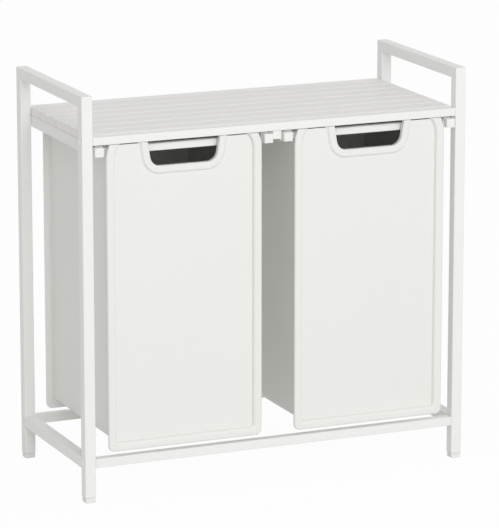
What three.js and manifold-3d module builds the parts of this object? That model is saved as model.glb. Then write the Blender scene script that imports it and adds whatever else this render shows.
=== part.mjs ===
import * as THREE from 'three';
import { mergeVertices } from 'three/addons/utils/BufferGeometryUtils.js';
import Module from 'manifold-3d';

const wasm = await Module();
wasm.setup();

// A laundry hamper: two pull-out bins hang in a square-tube frame under a slatted shelf.
// Millimetres. X runs to the right, Y to the back, Z up.
// The origin is on the floor, at the middle of the object's box.

// Steel frame
const frameWidth = 730;
const frameDepth = 326;
const frameHeight = 720;
const tubeSize = 20;
const tubeWall = 1.5;
const sideRailBottom = 60;
const bottomRailRaise = 2.6;
const bottomRailHeight = 16.3;
const bottomRailDepth = 16.5;
const handRoom = 52;
const topRailHeight = 14.3;
const railEndBlock = 12;

// Space that touching pieces keep, and how far a cutting shape runs past what it cuts
const seat = 0.3;
const overrun = 5;

// Shelf
const slatCount = 7;
const slatGap = 0.8;
const shelfEdgeGap = 3.4;
const slatThickness = 15;
const slatTopRadius = 4.5;
const slatBottomRadius = 1;

// Strips under the shelf and the runners that they hold
const stripHeight = 20;
const stripWall = 2.2;
const stripShelfWall = 1.7;
const stripTuck = 10;
const bearerWidth = 16;
const bearerHeight = 15;
const bearerSetback = 3;
const runnerSize = 16;
const runnerWall = 1.2;
const runnerHeadroom = 4;
const capReach = 4;
const capCorner = 1.2;
const capStem = 12;
const capStemSlack = 0.3;

// Bolts through the legs
const boltShankRadius = 3;
const boltHoleSlack = 0.3;
const boltHeadRadius = 4.8;
const boltHeadHeight = 2.2;
const boltReach = 29;
const boltSocketRadius = 2;
const boltSocketDepth = 1.3;
const boltCollarShare = 0.35;
const boltShoulderShare = 0.8;

// Feet
const footHeight = 9;
const footInset = 0.8;
const footCorner = 2.2;
const footStem = 15;
const footStemSlack = 0.3;

// Bin panels
const panelSideGap = 4.55;
const panelBottomGap = 10;
const panelTopGap = 0.6;
const panelDepth = 5.5;
const panelBottomRadius = 11;
const shoulderRadius = 54;
const shoulderHeight = 25.7;
const rimWidth = 8;
const recessDepth = 9;
const recessRoll = 7.5;
const recessSteps = 4;
const recessFloorRadius = 5;
const recessFaceRadius = 6;
const floorWall = 2;

// Hand notch in the front panel
const notchTopWidth = 135;
const notchFootWidth = 120;
const notchDepth = 43.8;
const notchRadius = 19;
const notchPadMargin = 13;
const notchPadHeight = 5;
const notchCollarWall = 2.2;
const notchCollarReach = 2.4;

// Bin body
const binFrontReach = 4;
const binBackGap = 12;
const bodyInset = 11.5;
const bodyWall = 2.2;
const bodyLift = 14.6;
const bodyTopDrop = 2.1;
const bodyRadius = 12;

// Steel hanging frame of a bin
const barSize = 13;
const barWall = 1.2;
const barHoleSlack = 0.3;
const barSetback = 4.6;
const barDrop = 13.2;
const hangerWall = 1.2;
const hangerSlack = 0.5;
const lipLift = 0.3;
const lipClearance = 4;

// Places worked out from the sizes above
const frontPlane = (capReach - frameDepth) / 2;
const backPlane = frontPlane + frameDepth;
const frameMiddle = (frontPlane + backPlane) / 2;
const legInner = frameWidth / 2 - tubeSize;
const legMiddle = frameWidth / 2 - tubeSize / 2;
const railLength = 2 * (legInner - seat);
const slatLength = railLength;
const slatPitch = (frameDepth - 2 * (tubeSize + shelfEdgeGap) + slatGap) / slatCount;
const topRailBottom = frameHeight - tubeSize - handRoom - topRailHeight;
const bottomRailBottom = sideRailBottom + bottomRailRaise;
const topRailMiddle = topRailBottom + topRailHeight / 2;
const bottomRailMiddle = bottomRailBottom + bottomRailHeight / 2;
const stripTop = topRailBottom - seat;
const outerStrip = legInner - seat - stripWall / 2;
const innerStrip = bearerWidth / 2 + seat + stripWall / 2;
const outerRunner = outerStrip - stripWall / 2 - seat - runnerSize / 2;
const innerRunner = innerStrip + stripWall / 2 + seat + runnerSize / 2;
const runnerTop = topRailBottom - runnerHeadroom;
const runnerBottom = runnerTop - runnerSize;
const binMiddle = (outerRunner + innerRunner) / 2;
const runnerReach = (outerRunner - innerRunner) / 2;
const binLength = frameDepth - binBackGap + binFrontReach;
const binCentreY = frontPlane - binFrontReach + binLength / 2;
const panelWidth = 2 * (runnerReach - runnerSize / 2 - panelSideGap);
const panelBottom = bottomRailBottom + bottomRailHeight + panelBottomGap;
const panelTop = topRailBottom - panelTopGap;
const panelThickness = recessDepth + floorWall;
const notchBottom = panelTop - notchDepth;
const bodyBottom = panelBottom + bodyLift;
const bodyTop = panelTop - bodyTopDrop;
const bodyHalfWidth = panelWidth / 2 - bodyInset;
const bodyLength = binLength - 2 * (panelThickness + seat);
const barMiddle = panelTop - barDrop;
const barDepth = panelThickness + notchCollarReach + barSetback + barSize / 2;
const barOffset = binLength / 2 - barDepth;
const hangerOutside = runnerReach - runnerSize / 2 - hangerSlack;
const hangerInside = hangerOutside - hangerWall;
const barLength = 2 * (hangerInside - seat);
const lipBottom = runnerTop + lipLift;

function paint(color, roughness, metalness) {
  return new THREE.MeshStandardMaterial({ color, roughness, metalness });
}

const whiteSteel = () => paint(0xf1f1f0, 0.45, 0.0);
const whitePlastic = () => paint(0xebebe8, 0.5, 0.0);
const slatWhite = () => paint(0xe3e2e0, 0.55, 0.0);
const footPlastic = () => paint(0xe9e9e6, 0.6, 0.0);

// A closed solid from a geometry's positions
function solid(geometry) {
  const bare = geometry.index ? geometry.toNonIndexed() : geometry.clone();
  bare.deleteAttribute('normal');
  bare.deleteAttribute('uv');
  const merged = mergeVertices(bare);
  return new wasm.Manifold(new wasm.Mesh({
    numProp: 3,
    vertProperties: new Float32Array(merged.attributes.position.array),
    triVerts: new Uint32Array(merged.index.array),
  }));
}

function geometryOf(body) {
  const { numProp, vertProperties, triVerts } = body.getMesh();
  const points = [];
  for (let start = 0; start < vertProperties.length; start += numProp) {
    points.push(...vertProperties.slice(start, start + 3));
  }
  const geometry = new THREE.BufferGeometry();
  geometry.setAttribute('position', new THREE.Float32BufferAttribute(points, 3));
  geometry.setIndex([...triVerts]);
  geometry.computeVertexNormals();
  return geometry;
}

// A box given by its sizes and its centre
function block([width, depth, height], [x, y, z] = [0, 0, 0]) {
  return solid(new THREE.BoxGeometry(width, depth, height).translate(x, y, z));
}

// An outline through corners [x, y, radius]; a corner without a radius stays sharp
function roundedShape(corners) {
  const shape = new THREE.Shape();
  corners.forEach(([x, y, radius = 0], index) => {
    const corner = new THREE.Vector2(x, y);
    const last = corners[(index + corners.length - 1) % corners.length];
    const next = corners[(index + 1) % corners.length];
    const back = new THREE.Vector2(last[0] - x, last[1] - y).normalize();
    const ahead = new THREE.Vector2(next[0] - x, next[1] - y).normalize();
    const half = Math.acos(THREE.MathUtils.clamp(back.dot(ahead), -1, 1)) / 2;
    const start = corner.clone().addScaledVector(back, radius / Math.tan(half));
    if (index === 0) shape.moveTo(start.x, start.y);
    else shape.lineTo(start.x, start.y);
    if (radius > 0) {
      const end = corner.clone().addScaledVector(ahead, radius / Math.tan(half));
      const toCentre = back.clone().add(ahead).normalize();
      const centre = corner.clone().addScaledVector(toCentre, radius / Math.sin(half));
      const startAngle = Math.atan2(start.y - centre.y, start.x - centre.x);
      const endAngle = Math.atan2(end.y - centre.y, end.x - centre.x);
      shape.absarc(centre.x, centre.y, radius, startAngle, endAngle, back.cross(ahead) > 0);
    }
  });
  shape.closePath();
  return shape;
}

// A profile drawn in Y and Z, extruded along X about the middle
function alongX(shape, length, steps = 2) {
  const geometry = new THREE.ExtrudeGeometry(shape, { depth: length, bevelEnabled: false, curveSegments: steps });
  return solid(geometry.translate(0, 0, -length / 2).rotateX(Math.PI / 2).rotateZ(Math.PI / 2));
}

// A plate drawn as seen from outside, in X and up, from one depth below its face to another
function plate(shape, fromDepth, toDepth, steps = 3) {
  const options = { depth: fromDepth - toDepth, bevelEnabled: false, curveSegments: steps };
  return solid(new THREE.ExtrudeGeometry(shape, options).translate(0, 0, -fromDepth));
}

// A plate's own depth direction turned to face the front
function facingFront(body) {
  return geometryOf(body).rotateX(Math.PI / 2);
}

// A square-sided plug from a profile of [half side, height] pairs, standing along Y
function squareTurned(profile) {
  const points = profile.map(([half, height]) => new THREE.Vector2(half * Math.SQRT2, height));
  return solid(new THREE.LatheGeometry(points, 4).rotateY(Math.PI / 4));
}

function turned(profile, sides) {
  const points = profile.map(([radius, height]) => new THREE.Vector2(radius, height));
  return solid(new THREE.LatheGeometry(points, sides));
}

// A square or flat tube: the outer box less the bore, which runs out of both ends
function tubeAlong(axis, outer, wall) {
  const inner = outer.map((size, index) => (index === axis ? size + 2 * overrun : size - 2 * wall));
  return block(outer).subtract(block(inner));
}

function named(name, geometry, material, [x, y, z] = [0, 0, 0], turn = 0) {
  const mesh = new THREE.Mesh(geometry, material);
  mesh.name = name;
  mesh.position.set(x, y, z);
  mesh.rotation.z = turn;
  return mesh;
}

const hamper = new THREE.Group();
const sides = [['left', -1], ['right', 1]];
const ends = [['front', frontPlane, 1], ['back', backPlane, -1]];

// A hole across a leg for one bolt
function boltHole(y, z) {
  const radius = boltShankRadius + boltHoleSlack;
  const length = tubeSize + 2 * overrun;
  return solid(new THREE.CylinderGeometry(radius, radius, length, 12).rotateZ(Math.PI / 2).translate(0, y, z));
}

// Front leg seen from the side, with its top mitred to meet the handle rail
function legGeometry() {
  const foot = footHeight + seat;
  const drop = seat * Math.SQRT2;
  const outline = roundedShape([
    [0, foot],
    [tubeSize, foot],
    [tubeSize, frameHeight - tubeSize - drop],
    [0, frameHeight - drop],
  ]);
  const boreWidth = tubeSize - 2 * tubeWall;
  const bore = block([boreWidth, boreWidth, frameHeight + 2 * overrun], [0, tubeSize / 2, frameHeight / 2]);
  const leg = alongX(outline, tubeSize).subtract(bore);
  return geometryOf(leg
    .subtract(boltHole(tubeSize / 2, topRailMiddle))
    .subtract(boltHole(tubeSize / 2, bottomRailMiddle)));
}

// Handle rail along the top of a side frame, mitred at both ends
function handleRailGeometry() {
  const outline = roundedShape([
    [tubeSize - frameDepth / 2, -tubeSize / 2],
    [frameDepth / 2 - tubeSize, -tubeSize / 2],
    [frameDepth / 2, tubeSize / 2],
    [-frameDepth / 2, tubeSize / 2],
  ]);
  const boreSize = tubeSize - 2 * tubeWall;
  return geometryOf(alongX(outline, tubeSize).subtract(block([boreSize, frameDepth, boreSize])));
}

// Cross rail: a hollow tube with solid, bored ends that take the bolts
function crossRailGeometry(depth, height, boltOffset) {
  const cavity = block([railLength - 2 * railEndBlock, depth - 2 * tubeWall, height - 2 * tubeWall]);
  const radius = boltShankRadius + boltHoleSlack;
  const bore = new THREE.CylinderGeometry(radius, radius, railLength + 2 * overrun, 12);
  const bores = solid(bore.rotateZ(Math.PI / 2).translate(0, boltOffset, 0));
  return geometryOf(block([railLength, depth, height]).subtract(cavity).subtract(bores));
}

function addSideFrames() {
  const leg = legGeometry();
  const handleRail = handleRailGeometry();
  const lowerLength = frameDepth - 2 * (tubeSize + seat);
  const lowerRail = geometryOf(tubeAlong(1, [tubeSize, lowerLength, tubeSize], tubeWall));
  for (const [side, sign] of sides) {
    const x = sign * legMiddle;
    hamper.add(named(`${side}_front_leg`, leg, whiteSteel(), [x, frontPlane, 0]));
    hamper.add(named(`${side}_back_leg`, leg, whiteSteel(), [x, backPlane, 0], Math.PI));
    hamper.add(named(`${side}_handle_rail`, handleRail, whiteSteel(), [x, frameMiddle, frameHeight - tubeSize / 2]));
    hamper.add(named(`${side}_lower_rail`, lowerRail, whiteSteel(), [x, frameMiddle, sideRailBottom + tubeSize / 2]));
  }
}

function addCrossRails() {
  const boltOffset = tubeSize / 2 - bottomRailDepth / 2;
  const topRail = crossRailGeometry(tubeSize, topRailHeight, 0);
  const bottomRail = crossRailGeometry(bottomRailDepth, bottomRailHeight, boltOffset);
  for (const [end, plane, inward] of ends) {
    const turn = inward > 0 ? 0 : Math.PI;
    const topY = plane + inward * tubeSize / 2;
    const bottomY = plane + inward * bottomRailDepth / 2;
    hamper.add(named(`${end}_top_rail`, topRail, whiteSteel(), [0, topY, topRailMiddle], turn));
    hamper.add(named(`${end}_bottom_rail`, bottomRail, whiteSteel(), [0, bottomY, bottomRailMiddle], turn));
  }
}

// Button-head bolt along X, its head outwards, with a six-sided socket
function boltGeometry() {
  const body = turned([
    [0, -boltReach],
    [boltShankRadius, -boltReach],
    [boltShankRadius, 0],
    [boltHeadRadius, 0],
    [boltHeadRadius, boltHeadHeight * boltCollarShare],
    [boltHeadRadius * boltShoulderShare, boltHeadHeight * boltShoulderShare],
    [boltHeadRadius / 2, boltHeadHeight],
    [0, boltHeadHeight],
  ], 12);
  const socketHeight = boltSocketDepth + overrun;
  const socket = new THREE.CylinderGeometry(boltSocketRadius, boltSocketRadius, socketHeight, 6);
  socket.translate(0, boltHeadHeight - boltSocketDepth + socketHeight / 2, 0);
  return geometryOf(body.subtract(solid(socket))).rotateZ(-Math.PI / 2);
}

function addBolts() {
  const bolt = boltGeometry();
  for (const [side, sign] of sides) {
    for (const [end, plane, inward] of ends) {
      const x = sign * (frameWidth / 2 + seat);
      const y = plane + inward * tubeSize / 2;
      const turn = sign > 0 ? 0 : Math.PI;
      hamper.add(named(`${side}_${end}_top_bolt`, bolt, whiteSteel(), [x, y, topRailMiddle], turn));
      hamper.add(named(`${side}_${end}_bottom_bolt`, bolt, whiteSteel(), [x, y, bottomRailMiddle], turn));
    }
  }
}

// Foot cap: a square shoe with a rounded sole and a stem inside the leg
function addFeet() {
  const half = tubeSize / 2 - footInset;
  const stemHalf = tubeSize / 2 - tubeWall - footStemSlack;
  const foot = geometryOf(squareTurned([
    [0, 0],
    [half - footCorner, 0],
    [half - footCorner / 3, footCorner / 3],
    [half, footCorner],
    [half, footHeight],
    [stemHalf, footHeight],
    [stemHalf, footHeight + footStem],
    [0, footHeight + footStem],
  ])).rotateX(Math.PI / 2);
  for (const [side, sign] of sides) {
    for (const [end, plane, inward] of ends) {
      const y = plane + inward * tubeSize / 2;
      hamper.add(named(`${side}_${end}_foot`, foot, footPlastic(), [sign * legMiddle, y, 0]));
    }
  }
}

function addShelf() {
  const half = (slatPitch - slatGap) / 2;
  const slat = geometryOf(alongX(roundedShape([
    [-half, 0, slatBottomRadius],
    [half, 0, slatBottomRadius],
    [half, slatThickness, slatTopRadius],
    [-half, slatThickness, slatTopRadius],
  ]), slatLength));
  for (let index = 0; index < slatCount; index += 1) {
    const y = frameMiddle + (index - (slatCount - 1) / 2) * slatPitch;
    hamper.add(named(`shelf_slat_${index + 1}`, slat, slatWhite(), [0, y, topRailBottom]));
  }
}

// Bearer along the middle, with the strips and runners that carry the shelf and the bins
function addRunners() {
  const bearer = geometryOf(block([bearerWidth, frameDepth - 2 * bearerSetback, bearerHeight]));
  hamper.add(named('centre_bearer', bearer, whiteSteel(), [0, frameMiddle, stripTop - bearerHeight / 2]));

  const stripLength = frameDepth - 2 * stripTuck;
  const flat = block([stripWall, stripLength, stripHeight]);
  const shelfReach = stripWall + seat + runnerSize;
  const shelf = block(
    [shelfReach, stripLength, stripShelfWall],
    [(stripWall - shelfReach) / 2, 0, (stripHeight - stripShelfWall) / 2],
  );
  const flatStrip = geometryOf(flat);
  const angleStrip = geometryOf(flat.add(shelf));
  const runner = geometryOf(tubeAlong(1, [runnerSize, frameDepth - bearerSetback, runnerSize], runnerWall));

  const half = runnerSize / 2;
  const stemHalf = half - runnerWall - capStemSlack;
  const face = capReach - seat;
  const cap = geometryOf(squareTurned([
    [0, -capStem],
    [stemHalf, -capStem],
    [stemHalf, 0],
    [half, 0],
    [half, face - capCorner],
    [half - capCorner / 3, face - capCorner / 3],
    [half - capCorner, face],
    [0, face],
  ]));

  for (const [side, sign] of sides) {
    const turn = sign > 0 ? 0 : Math.PI;
    const stripZ = stripTop - stripHeight / 2;
    hamper.add(named(`${side}_outer_strip`, angleStrip, whiteSteel(), [sign * outerStrip, frameMiddle, stripZ], turn));
    hamper.add(named(`${side}_inner_strip`, flatStrip, whiteSteel(), [sign * innerStrip, frameMiddle, stripZ]));
    for (const [place, reach] of [['outer', outerRunner], ['inner', innerRunner]]) {
      const x = sign * reach;
      const z = runnerBottom + half;
      const runnerY = frameMiddle - bearerSetback / 2;
      hamper.add(named(`${side}_${place}_runner`, runner, whiteSteel(), [x, runnerY, z]));
      hamper.add(named(`${side}_${place}_runner_cap`, cap, whitePlastic(), [x, frontPlane - seat, z], Math.PI));
    }
  }
}

// Panel outline, recess and boss as seen from outside; a bin's two ends share them
function panelBlank() {
  const half = panelWidth / 2;
  const outline = new THREE.Shape(ringOf(half, panelBottom, panelTop, panelBottomRadius));
  const bossInset = bodyInset - bodyWall;
  const boss = roundedShape([
    [bossInset - half, panelBottom + bossInset, panelBottomRadius],
    [half - bossInset, panelBottom + bossInset, panelBottomRadius],
    [half - bossInset, panelTop],
    [bossInset - half, panelTop],
  ]);
  return plate(outline, panelDepth, 0).add(plate(boss, panelThickness, panelDepth / 2));
}

// Points round a panel or its recess, anticlockwise from the lower left; wide arcs lead in to the top
function ringOf(half, bottom, top, bottomRadius) {
  const shoulderFoot = panelTop - shoulderHeight;
  const wide = shoulderRadius - (panelWidth / 2 - half);
  const rise = Math.asin((top - shoulderFoot) / wide);
  const corners = [
    [bottomRadius - half, bottom + bottomRadius, bottomRadius, -Math.PI, -Math.PI / 2],
    [half - bottomRadius, bottom + bottomRadius, bottomRadius, -Math.PI / 2, 0],
    [half - wide, shoulderFoot, wide, 0, rise],
    [wide - half, shoulderFoot, wide, Math.PI - rise, Math.PI],
  ];
  return corners.flatMap(([x, y, radius, from, to]) => Array.from({ length: recessSteps + 1 }, (_, step) => {
    const angle = THREE.MathUtils.lerp(from, to, step / recessSteps);
    return new THREE.Vector2(x + radius * Math.cos(angle), y + radius * Math.sin(angle));
  }));
}

// A solid through rings of as many points, each with its depth below the face, the deepest ring first
function lofted(rings) {
  const count = rings[0].points.length;
  const positions = rings.flatMap(({ points, depth }) => points.flatMap(({ x, y }) => [x, y, -depth]));
  const faces = [];
  for (let ring = 0; ring < rings.length - 1; ring += 1) {
    for (let point = 0; point < count; point += 1) {
      const here = ring * count + point;
      const beside = ring * count + (point + 1) % count;
      faces.push(here, beside, beside + count, here, beside + count, here + count);
    }
  }
  const lastRing = (rings.length - 1) * count;
  for (const [a, b, c] of THREE.ShapeUtils.triangulateShape(rings[0].points, [])) {
    faces.push(a, c, b);
  }
  for (const [a, b, c] of THREE.ShapeUtils.triangulateShape(rings[rings.length - 1].points, [])) {
    faces.push(lastRing + a, lastRing + b, lastRing + c);
  }
  const geometry = new THREE.BufferGeometry();
  geometry.setAttribute('position', new THREE.Float32BufferAttribute(positions, 3));
  geometry.setIndex(faces);
  return solid(geometry);
}

// Recess between the rims, open at the top: its walls stand steep on the floor and roll over to the rims' face
function recessCutter() {
  const rings = [];
  for (let step = 0; step <= recessSteps; step += 1) {
    const angle = step / recessSteps * Math.PI / 2;
    const rest = Math.cos(angle);
    const half = panelWidth / 2 - rimWidth - recessRoll * rest;
    const bottom = panelBottom + rimWidth + recessRoll * rest;
    const bottomRadius = THREE.MathUtils.lerp(recessFaceRadius, recessFloorRadius, rest);
    const points = ringOf(half, bottom, panelTop + overrun, bottomRadius);
    rings.push({ points, depth: recessDepth * (1 - Math.sin(angle)) });
  }
  rings.push({ points: rings[recessSteps].points, depth: -overrun });
  return lofted(rings);
}

// Outline of the hand notch, or of the raised pad at a margin round it
function notchShape(margin, top) {
  const topHalf = notchTopWidth / 2 + margin;
  const footHalf = notchFootWidth / 2 + margin;
  return roundedShape([
    [-footHalf, notchBottom - margin, notchRadius + margin],
    [footHalf, notchBottom - margin, notchRadius + margin],
    [topHalf, top],
    [-topHalf, top],
  ]);
}

function panelGeometry(hasNotch) {
  let panel = panelBlank().subtract(recessCutter());
  if (hasNotch) {
    const pad = notchShape(notchPadMargin, panelTop);
    const collar = notchShape(notchCollarWall, panelTop);
    const notch = notchShape(0, panelTop + overrun);
    panel = panel
      .add(plate(pad, recessDepth + floorWall / 2, recessDepth - notchPadHeight))
      .add(plate(collar, panelThickness + notchCollarReach, recessDepth))
      .subtract(plate(notch, panelThickness + notchCollarReach + overrun, -overrun));
  }
  return facingFront(panel);
}

// A hole across the bin body for one bar
function barHole(y) {
  const side = barSize + 2 * barHoleSlack;
  return block([2 * (bodyHalfWidth + overrun), side, side], [0, barMiddle, y]);
}

// Bin body: two sides and a bottom in one piece, open at the top and at both ends
function bodyGeometry() {
  const outer = bodyHalfWidth;
  const inner = bodyHalfWidth - bodyWall;
  const outline = roundedShape([
    [-outer, bodyTop],
    [-outer, bodyBottom, bodyRadius],
    [outer, bodyBottom, bodyRadius],
    [outer, bodyTop],
    [inner, bodyTop],
    [inner, bodyBottom + bodyWall, bodyRadius - bodyWall],
    [-inner, bodyBottom + bodyWall, bodyRadius - bodyWall],
    [-inner, bodyTop],
  ]);
  const body = plate(outline, bodyLength / 2, -bodyLength / 2);
  return facingFront(body.subtract(barHole(barOffset)).subtract(barHole(-barOffset)));
}

// Square tube across the bin, through the body's sides
function barGeometry() {
  return geometryOf(tubeAlong(0, [barLength, barSize, barSize], barWall));
}

// Hanger on the right of a bin: an upright leg at the bars' ends and a lip that slides on the runner
function hangerGeometry() {
  const outside = runnerReach + runnerSize / 2 - lipClearance;
  const lipTop = lipBottom + hangerWall;
  const legHeight = lipTop - barMiddle + barSize / 2;
  const leg = block(
    [hangerWall, bodyLength, legHeight],
    [hangerInside + hangerWall / 2, 0, lipTop - legHeight / 2],
  );
  const lip = block(
    [outside - hangerInside, bodyLength, hangerWall],
    [(hangerInside + outside) / 2, 0, lipBottom + hangerWall / 2],
  );
  return geometryOf(leg.add(lip));
}

function addBins() {
  const frontPanel = panelGeometry(true);
  const backPanel = panelGeometry(false);
  const body = bodyGeometry();
  const hanger = hangerGeometry();
  const bar = barGeometry();
  for (const [side, sign] of sides) {
    const bin = new THREE.Group();
    bin.position.set(sign * binMiddle, binCentreY, 0);
    bin.add(named(`${side}_bin_front_panel`, frontPanel, whitePlastic(), [0, -binLength / 2, 0]));
    bin.add(named(`${side}_bin_back_panel`, backPanel, whitePlastic(), [0, binLength / 2, 0], Math.PI));
    bin.add(named(`${side}_bin_body`, body, whitePlastic()));
    bin.add(named(`${side}_bin_grip_bar`, bar, whiteSteel(), [0, -barOffset, barMiddle]));
    bin.add(named(`${side}_bin_back_bar`, bar, whiteSteel(), [0, barOffset, barMiddle]));
    bin.add(named(`${side}_bin_right_hanger`, hanger, whiteSteel()));
    bin.add(named(`${side}_bin_left_hanger`, hanger, whiteSteel(), [0, 0, 0], Math.PI));
    hamper.add(bin);
  }
}

addSideFrames();
addCrossRails();
addBolts();
addFeet();
addShelf();
addRunners();
addBins();

export default hamper;
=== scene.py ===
import math

import bmesh
import bpy
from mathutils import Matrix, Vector
from mathutils.geometry import delaunay_2d_cdt


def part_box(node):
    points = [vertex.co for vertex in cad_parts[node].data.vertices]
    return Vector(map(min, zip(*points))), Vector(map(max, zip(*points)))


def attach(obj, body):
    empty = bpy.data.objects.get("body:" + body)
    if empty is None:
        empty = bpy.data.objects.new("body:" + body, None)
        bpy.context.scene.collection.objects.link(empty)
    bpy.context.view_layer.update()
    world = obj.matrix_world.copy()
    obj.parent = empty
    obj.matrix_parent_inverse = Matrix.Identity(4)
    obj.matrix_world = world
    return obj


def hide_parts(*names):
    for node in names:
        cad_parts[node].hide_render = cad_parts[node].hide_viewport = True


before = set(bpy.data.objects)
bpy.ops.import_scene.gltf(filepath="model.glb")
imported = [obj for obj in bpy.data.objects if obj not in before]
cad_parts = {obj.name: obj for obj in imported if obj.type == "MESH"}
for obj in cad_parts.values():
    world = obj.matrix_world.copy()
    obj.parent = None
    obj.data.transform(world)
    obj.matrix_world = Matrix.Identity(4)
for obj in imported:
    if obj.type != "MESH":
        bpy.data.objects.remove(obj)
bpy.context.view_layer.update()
mm = 0.001      # the pieces' dictionaries give sizes in millimetres
tiny = 1e-6
sides = ("left", "right")
ends = ("front", "back")
levels = ("top", "bottom")
print("frame loaded:", len(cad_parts), "nodes")


# camera
camera = {
    "lens": 246.5,
    "sensor": 36.0,
    "farthest": 100,
    "distance": 6.5,
    "turn": 23.44,      # degrees round to the left of the front
    "pitch": 13.20,     # degrees down
    "aimRight": 0.0151,
    "aimBack": 0.002,
    "aimUp": 0.3604,
}


def addCamera():
    turn, pitch = math.radians(camera["turn"]), math.radians(camera["pitch"])
    right = Vector((math.cos(turn), -math.sin(turn), 0))
    ahead = Vector((math.sin(turn) * math.cos(pitch), math.cos(turn) * math.cos(pitch), -math.sin(pitch)))
    target = right * camera["aimRight"] + Vector((0, camera["aimBack"], camera["aimUp"]))
    data = bpy.data.cameras.new("camera")
    data.lens, data.sensor_width, data.clip_end = camera["lens"], camera["sensor"], camera["farthest"]
    eye = bpy.data.objects.new("camera", data)
    eye.location = target - ahead * camera["distance"]
    eye.rotation_euler = ahead.to_track_quat("-Z", "Y").to_euler()
    bpy.context.scene.collection.objects.link(eye)
    bpy.context.scene.camera = eye


# world, floor and light
studio = {
    "worldColor": (1.0, 0.992, 0.975),
    "worldStrength": 0.58,
    "white": (1, 1, 1, 1),
    "lightBounces": 12,         # enough for light to reach in between the bins
    "floorReach": 14.0,
    "floorDrop": 0.0003,        # keeps the floor off the soles of the feet
    "floorColor": (0.88, 0.88, 0.88),
    "floorWhite": 0.96,         # share of the floor's look that is plain white
    "keyPlace": (-0.5, -6.6, 3.6),
    "keyAim": (0, 0, 0.36),
    "keySize": 5.0,
    "keyPower": 215.0,
}


def shownRays(nodes, links):
    # 1 for rays that see the background, straight or through metal and glass
    path = nodes.new("ShaderNodeLightPath")
    shown = path.outputs["Is Camera Ray"]
    for kind in ("Is Glossy Ray", "Is Transmission Ray"):
        either = nodes.new("ShaderNodeMath")
        either.operation = "MAXIMUM"
        links.new(shown, either.inputs[0])
        links.new(path.outputs[kind], either.inputs[1])
        shown = either.outputs[0]
    return shown


def addWorld():
    world = bpy.data.worlds.new("studio")
    bpy.context.scene.world = world
    world.use_nodes = True
    nodes, links = world.node_tree.nodes, world.node_tree.links
    soft = nodes["Background"]
    soft.inputs["Color"].default_value = (*studio["worldColor"], 1)
    soft.inputs["Strength"].default_value = studio["worldStrength"]
    white = nodes.new("ShaderNodeBackground")
    white.inputs["Color"].default_value = studio["white"]
    white.inputs["Strength"].default_value = 1
    mix = nodes.new("ShaderNodeMixShader")
    links.new(shownRays(nodes, links), mix.inputs[0])
    links.new(soft.outputs[0], mix.inputs[1])
    links.new(white.outputs[0], mix.inputs[2])
    links.new(mix.outputs[0], nodes["World Output"].inputs["Surface"])


def paperFloor():
    # matt paper that looks nearly white and keeps a little of the object's shadow
    paper = bpy.data.materials.new("paperFloor")
    paper.use_nodes = True
    nodes, links = paper.node_tree.nodes, paper.node_tree.links
    nodes.clear()
    matt = nodes.new("ShaderNodeBsdfDiffuse")
    matt.inputs["Color"].default_value = (*studio["floorColor"], 1)
    glow = nodes.new("ShaderNodeEmission")
    share = nodes.new("ShaderNodeMath")
    share.operation = "MULTIPLY"
    share.inputs[1].default_value = studio["floorWhite"]
    mix = nodes.new("ShaderNodeMixShader")
    out = nodes.new("ShaderNodeOutputMaterial")
    links.new(shownRays(nodes, links), share.inputs[0])
    links.new(share.outputs[0], mix.inputs[0])
    links.new(matt.outputs[0], mix.inputs[1])
    links.new(glow.outputs[0], mix.inputs[2])
    links.new(mix.outputs[0], out.inputs["Surface"])
    return paper


def addFloor():
    reach, height = studio["floorReach"], -studio["floorDrop"]
    corners = [(-reach, -reach), (reach, -reach), (reach, reach), (-reach, reach)]
    floorMesh = bpy.data.meshes.new("floor")
    floorMesh.from_pydata([(x, y, height) for x, y in corners], [], [(0, 1, 2, 3)])
    floorMesh.materials.append(paperFloor())
    floor = bpy.data.objects.new("floor", floorMesh)
    bpy.context.scene.collection.objects.link(floor)


def addKeyLight():
    data = bpy.data.lights.new("softbox", "AREA")
    data.shape, data.size, data.energy = "SQUARE", studio["keySize"], studio["keyPower"]
    lamp = bpy.data.objects.new("softbox", data)
    lamp.location = studio["keyPlace"]
    lamp.rotation_euler = (Vector(studio["keyAim"]) - lamp.location).to_track_quat("-Z", "Y").to_euler()
    bpy.context.scene.collection.objects.link(lamp)


addCamera()
bpy.context.scene.view_settings.view_transform = "Standard"
bpy.context.scene.cycles.diffuse_bounces = studio["lightBounces"]
addWorld()
addFloor()
addKeyLight()
print("camera, floor and light ready")


# finishes
coat = {
    "color": (0.905, 0.905, 0.895),
    "frameRough": 0.42, "barRough": 0.357, "boltRough": 0.294,
    "smoother": 0.05, "rougher": 0.07,                              # how far the roughness strays
    "cloud": 26, "cloudShade": 0.985,                               # broad, faint changes of tone
    "peel": 900, "peelDetail": 1.5, "peelBlend": 0.45, "peelDepth": 0.00006,
}
moulding = {
    "color": (0.865, 0.865, 0.845), "rough": 0.5,
    "capColor": (0.9, 0.9, 0.89), "capRough": 0.38,
    "footColor": (0.86, 0.86, 0.85), "footRough": 0.55,
    "smoother": 0.05, "rougher": 0.08,
    "cloud": 7, "cloudShade": 0.988,
    "peel": 1400, "peelDetail": 2, "peelBlend": 0.6, "peelDepth": 0.00005,
}
slatPaint = {
    "color": (0.908, 0.903, 0.894), "rough": 0.5,
    "smoother": 0.08, "rougher": 0.1,
    "grainAcross": 220, "grainAlong": 9, "grainDetail": 4, "grainBlend": 0.6,
    "wideGrain": 44, "grainDepth": 0.00025,
    "streakLow": 0.35, "streakHigh": 0.62,      # the grain's values between which the tone changes
    "streakShade": 0.955,
}
paintIor = 1.46


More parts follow.
